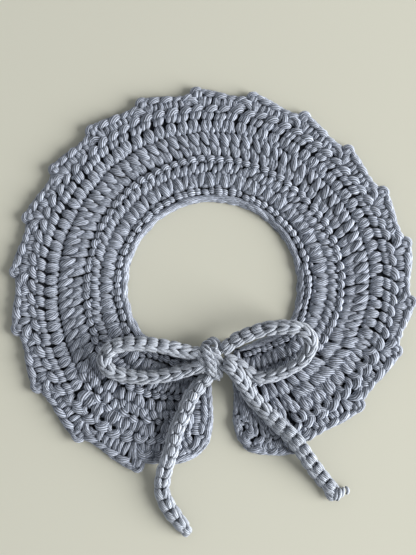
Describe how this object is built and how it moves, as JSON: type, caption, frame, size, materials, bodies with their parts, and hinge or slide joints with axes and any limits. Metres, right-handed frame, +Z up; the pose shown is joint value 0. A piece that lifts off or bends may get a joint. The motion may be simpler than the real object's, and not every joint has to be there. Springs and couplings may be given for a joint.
{
  "type": "crochet collar",
  "caption": "Flat ring-shaped crocheted lace collar with a picot scalloped hem, open at the front and closed by a crocheted cord tied in a bow.",
  "frame": {"origin": "middle of the collar's footprint, on the surface it lies on, with the bow's cord not counted", "axes": "+Z up out of the surface, +Y towards the back of the neck, +X towards the right of the collar as seen from above with its opening nearest"},
  "size_m": [0.2487, 0.2759, 0.022],
  "materials": {
    "cotton_yarn": "matte blue-grey cotton yarn, mercerised a little",
    "tie_yarn": "matte blue-grey cotton yarn, in a crocheted cord"
  },
  "bodies": {
    "root": {"collar_foundation_chain": "cotton_yarn", "collar_row_1": "cotton_yarn", "collar_row_2": "cotton_yarn", "collar_row_3": "cotton_yarn", "collar_picot_border": "cotton_yarn", "tie_loop_left": "tie_yarn", "tie_loop_right": "tie_yarn", "tie_tail_left": "tie_yarn", "tie_tail_right": "tie_yarn", "tie_root_left": "tie_yarn", "tie_root_right": "tie_yarn", "tie_knot": "tie_yarn", "tie_tip_left": "tie_yarn", "tie_tip_right": "tie_yarn"}
  },
  "joints": []
}
